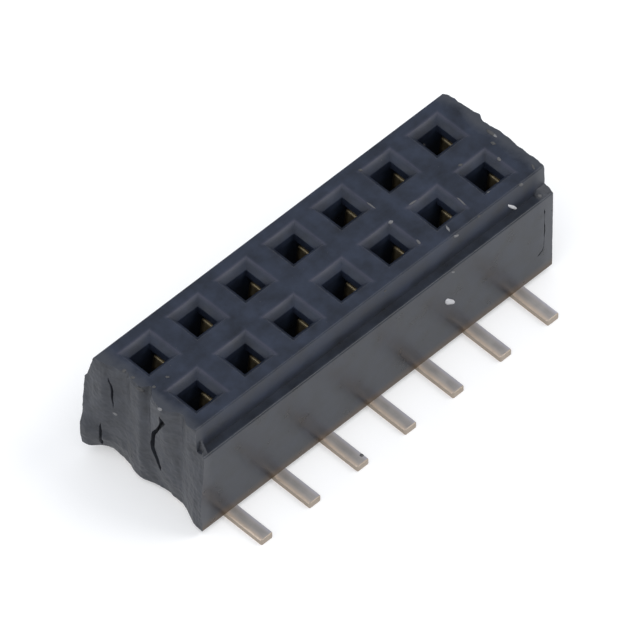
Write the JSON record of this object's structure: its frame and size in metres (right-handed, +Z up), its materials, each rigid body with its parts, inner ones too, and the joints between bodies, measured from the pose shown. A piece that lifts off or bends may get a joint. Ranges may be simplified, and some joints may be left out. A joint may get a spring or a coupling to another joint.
{
  "type": "board-to-board socket strip",
  "caption": "Surface-mount board-to-board socket strip with rows of square lead-in sockets, spring contacts inside and flat solder tails, snapped off rough at each end.",
  "frame": {"origin": "under the middle of the strip, on the plane of the undersides of the solder tails", "axes": "+X along the strip, +Y across it from the front row to the back row, +Z up out of the sockets"},
  "size_m": [0.0151, 0.0078, 0.0046],
  "materials": {
    "housing": "black glass-filled moulding with a dull sheen, paler and rough on the two broken ends",
    "contact": "copper alloy strip with dull tin on the solder tail and a thin gold finish on the arms"
  },
  "bodies": {
    "root": {"housing": "housing", "contact_back_1": "contact", "contact_back_2": "contact", "contact_back_3": "contact", "contact_back_4": "contact", "contact_back_5": "contact", "contact_back_6": "contact", "contact_back_7": "contact", "contact_front_1": "contact", "contact_front_2": "contact", "contact_front_3": "contact", "contact_front_4": "contact", "contact_front_5": "contact", "contact_front_6": "contact", "contact_front_7": "contact"}
  },
  "joints": []
}
